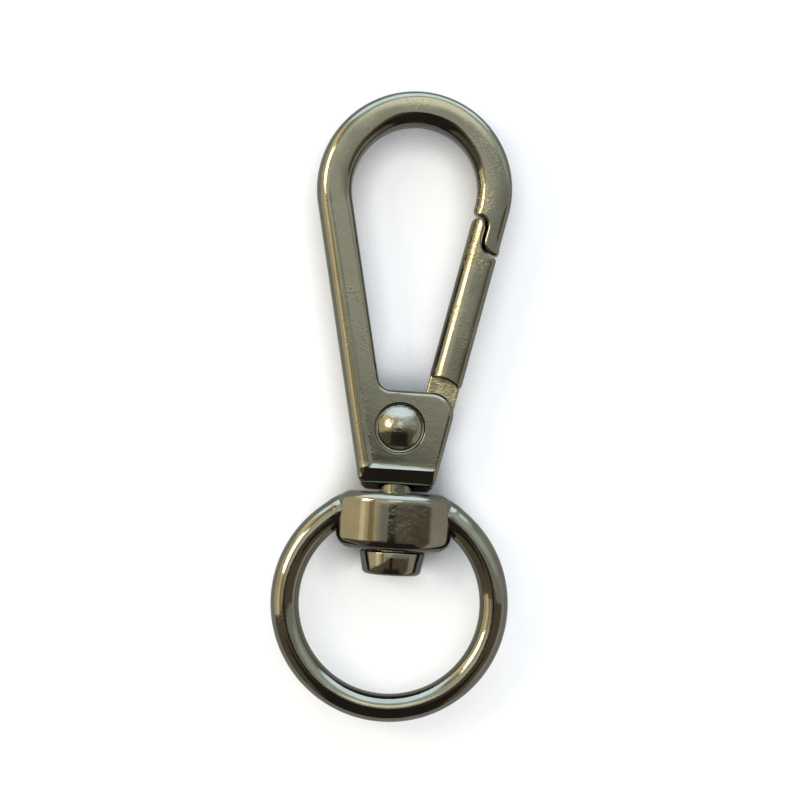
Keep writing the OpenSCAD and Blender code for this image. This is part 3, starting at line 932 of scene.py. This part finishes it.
def eyeRing():
    e = eye
    shell = Shell()
    collar = collarRows()
    shell.add(collar, gridFaces(len(collar), collar.shape[1], wrap=True))

    # ring: circle carried round a circle, wider where it runs into the collar
    ringY = collarTop - e["ringRise"] - e["ringRadius"]
    angle = np.radians(np.linspace(90 + e["hide"], 450 - e["hide"], e["ringSteps"]))
    reach = math.asin((e["halfWidth"] - e["sink"]) / e["ringRadius"])
    away = np.minimum(angle - math.pi / 2, 2.5 * math.pi - angle) - reach
    away = np.clip(away, 0, None) * e["ringRadius"]
    thick = e["wire"] + e["flare"] * np.exp(-away / e["flareLength"])
    section = np.linspace(0, 2 * math.pi, e["wireSides"], endpoint=False)
    out = e["ringRadius"] + thick[:, None] * np.cos(section)
    shell.addCapped(np.stack([
        out * np.cos(angle)[:, None], ringY + out * np.sin(angle)[:, None],
        thick[:, None] * np.sin(section)], -1))
    return makePiece("eyeRing", shell, e["sharp"], "eye", "eye_ring", steelPlate)


eyeRing()

# spring: anchored leg, two turns round the rivet and the leg that pushes the gate shut

coil = {"wire": 0.34, "radius": 1.55, "turns": 2, "gap": 0.04, "pushTurn": 48, "anchorTurn": 285,
        "pushLeg": 3.2, "reach": 2.4, "steps": 140, "sides": 16, "sharp": 45}


def springWire():
    c = coil
    pitch = c["wire"] + c["gap"]
    sweep = 360 * c["turns"] + c["pushTurn"] - 90 - c["anchorTurn"] + 360
    turn = np.radians(np.linspace(c["anchorTurn"], c["anchorTurn"] + sweep, c["steps"]))
    rise = pitch * (turn - turn[0]) / (2 * math.pi) - pitch * math.radians(sweep) / (4 * math.pi)
    anchorLeg = math.sqrt(c["reach"] ** 2 - c["radius"] ** 2)
    path = np.c_[c["radius"] * np.cos(turn), c["radius"] * np.sin(turn), rise]
    first = path[0] + anchorLeg * np.array((math.sin(turn[0]), -math.cos(turn[0]), 0))
    push = math.radians(c["pushTurn"])
    last = path[-1] + c["pushLeg"] * np.array((math.cos(push), math.sin(push), 0))
    path = np.vstack([first, path, last])
    facing = np.r_[turn[0], turn, turn[-1]]
    around = np.linspace(0, 2 * math.pi, c["sides"], endpoint=False)[None, :, None]
    outward = np.c_[np.cos(facing), np.sin(facing), 0 * facing]
    upward = np.array((0, 0, 1.0))
    tube = path[:, None] + c["wire"] / 2 * (np.cos(around) * outward[:, None] + np.sin(around) * upward)
    shell = Shell()
    shell.addCapped(tube + (0, pivotY, 0))
    return makePiece("springWire", shell, c["sharp"], "hook", "gate_spring", springSteel)


springWire()
print("pieces made")


# studio: white paper under a pale ceiling, sky and a window behind, warm light and a lamp on the left

right, left, behind, nearer, overhead = (1, 0, 0), (-1, 0, 0), (0, 1, 0), (0, -1, 0), (0, 0, 1)
studio = {
    "floor": "#9fa2a7", "floorHalf": 2.0, "floorRoughness": 0.9,
    "floorGlow": 0.69,
    "mirrorGlow": 0.25,    # share of the glow that the metal mirrors
    # the floor's glow faded by ambient occlusion near the hook: painted shade
    "paintedShadeReach": 6, "paintedShadeBand": (0.4, 0.72), "paintedShadeSamples": 8,
    "ceiling": ("#fffdf0", 1.5),
    "rooms": (             # colour, strength and soft limits: a direction with its step's start and end
        ("#eef0e6", 0.76, ((right, -0.17, 0.17),)),                        # ceiling's right half
        ("#ecefe6", 0.68, ((nearer, -0.005, 0.035),)),                     # ceiling's near half
        ("#e2f0ee", 1.5, ((behind, 0.09, 0.30), (left, 0.5, 0.3))),        # sky behind
        ("#ffe8c0", 1.5, ((left, 0.25, 0.5), (behind, 0.7, 0.5))),         # warm left
        ("#ffe0aa", 0.8, ((left, 0.46, 0.50), (left, 0.64, 0.60))),        # dim and bright bars on it
        ("#ffebc4", 2.3, ((left, 0.70, 0.74), (left, 0.88, 0.84))),
        ("#8f8270", 1.0, (((0.204, -0.979, 0), 0.022, 0.034), (nearer, 0.022, 0.036))),   # photographer
        ("#b3a08a", 0.9, ((overhead, 0.45, 0.25), (left, 0.4, 0.1))),        # walls
        ("#dcd4c8", 1.2, ((overhead, 0.5, 0.3), (right, 0.6, 0.8))),         # right wall
        ("#d8eaff", 3.8, ((behind, 0.62, 0.70), (right, 0.75, 0.6), (left, 0.8, 0.65))),  # window
        ("#fbf9e6", 2.9, ((behind, 0.13, 0.18), (behind, 0.45, 0.37),
                          (right, 0.2, 0.12), (left, 0.2, 0.12))),         # lamp behind
        ("#453e3a", 1.0, ((nearer, 0.032, 0.038), (right, 0.08, 0.02), (left, 0.15, 0.12))),  # phone
        ("#453e3a", 1.0, ((nearer, 0.22, 0.30), (right, 0.55, 0.45), (left, 0.55, 0.45))),  # clothes
    ),
    "keyTint": "#fff0cc", "keyPower": 1.25, "keySize": (0.18, 0.22),
    "keyTurn": 162, "keyRise": 42, "keyAway": 0.55,
}


def studioWorld():
    # soft patches over the ceiling's colour by the direction of a ray; seen directly, all is white
    world = bpy.data.worlds.new("studio")
    bpy.context.scene.world = world
    world.use_nodes = True
    tree = world.node_tree
    ray = addNode(tree, "ShaderNodeTexCoord").outputs["Generated"]
    colour = addNode(tree, "ShaderNodeRGB").outputs["Color"]
    colour.default_value = tuple(studio["ceiling"][1] * c for c in toLinear(studio["ceiling"][0]))
    for tone, strength, limits in studio["rooms"]:
        share = 1.0
        for side, start, end in limits:
            facing = addNode(tree, "ShaderNodeVectorMath", {0: ray, 1: side}, operation="DOT_PRODUCT")
            step = bandOf(tree, facing.outputs["Value"], start, end, curve="SMOOTHSTEP")
            share = mathOf(tree, "MULTIPLY", step, share)
        colour = mixOf(tree, share, colour, tuple(strength * c for c in toLinear(tone)[:3]) + (1.0,))
    seen = addNode(tree, "ShaderNodeLightPath").outputs["Is Camera Ray"]
    tree.links.new(mixOf(tree, seen, colour, (1, 1, 1, 1)), tree.nodes["Background"].inputs["Color"])


def studioFloor():
    # matt white paper: part of its white is a glow, weaker in mirrors and faded by ambient occlusion
    # where the hook covers it, a painted shade under and round the hook
    mesh = bpy.data.meshes.new("floor")
    size = studio["floorHalf"]
    corners = [(-size, -size, 0), (size, -size, 0), (size, size, 0), (-size, size, 0)]
    mesh.from_pydata(corners, [], [(0, 1, 2, 3)])
    floor = bpy.data.objects.new("floor", mesh)
    bpy.context.scene.collection.objects.link(floor)
    paper = bpy.data.materials.new("mattPaper")
    paper.use_nodes = True
    tree = paper.node_tree
    shader = tree.nodes["Principled BSDF"]
    shader.inputs["Base Color"].default_value = toLinear(studio["floor"])
    shader.inputs["Roughness"].default_value = studio["floorRoughness"]
    ray = addNode(tree, "ShaderNodeLightPath").outputs
    glow = mathOf(tree, "MULTIPLY", ray["Is Glossy Ray"], studio["mirrorGlow"])
    for kind in ("Is Camera Ray", "Is Transmission Ray"):
        glow = mathOf(tree, "MAXIMUM", glow, ray[kind])
    # painted shade: the glow fades where the hook hides the floor
    paintedShade = addNode(tree, "ShaderNodeAmbientOcclusion", {
        "Distance": studio["paintedShadeReach"] * mm}, samples=studio["paintedShadeSamples"])
    glow = mathOf(tree, "MULTIPLY", glow, bandOf(tree, paintedShade.outputs["AO"], *studio["paintedShadeBand"]))
    glow = mathOf(tree, "MULTIPLY", glow, studio["floorGlow"])
    shader.inputs["Emission Color"].default_value = (1, 1, 1, 1)
    tree.links.new(glow, shader.inputs["Emission Strength"])
    mesh.materials.append(paper)


def studioLamp():
    # broad warm lamp low on the left
    lamp = bpy.data.lights.new("keyLamp", "AREA")
    lamp.shape = "RECTANGLE"
    lamp.energy = studio["keyPower"]
    lamp.size, lamp.size_y = studio["keySize"]
    lamp.color = toLinear(studio["keyTint"])[:3]
    key = bpy.data.objects.new("keyLamp", lamp)
    bpy.context.scene.collection.objects.link(key)
    turn, rise = math.radians(studio["keyTurn"]), math.radians(studio["keyRise"])
    key.location = studio["keyAway"] * np.array((
        math.cos(rise) * math.cos(turn), math.cos(rise) * math.sin(turn), math.sin(rise)))
    key.rotation_euler = (math.pi / 2 - rise, 0, turn + math.pi / 2)


# camera straight above, as the photo was taken, with the hook leaning a little to the right

view = {"height": 0.32, "pixel": 0.11, "pixels": 800, "sensor": 36,
        "roll": 3.5, "middle": (-0.17, -23.14)}


def photoCamera():
    lens = bpy.data.cameras.new("camera")
    lens.sensor_width = view["sensor"]
    lens.lens = view["sensor"] * view["height"] / (view["pixel"] * view["pixels"] * mm)
    camera = bpy.data.objects.new("camera", lens)
    bpy.context.scene.collection.objects.link(camera)
    spot = (np.array((*view["middle"], 0)) + origin) * mm
    camera.location = (spot[0], spot[1], spot[2] + view["height"])
    camera.rotation_euler = (0, 0, math.radians(view["roll"]))
    bpy.context.scene.camera = camera


studioWorld()
studioFloor()
studioLamp()
photoCamera()
bpy.context.scene.view_settings.view_transform = "Standard"
print("studio set")
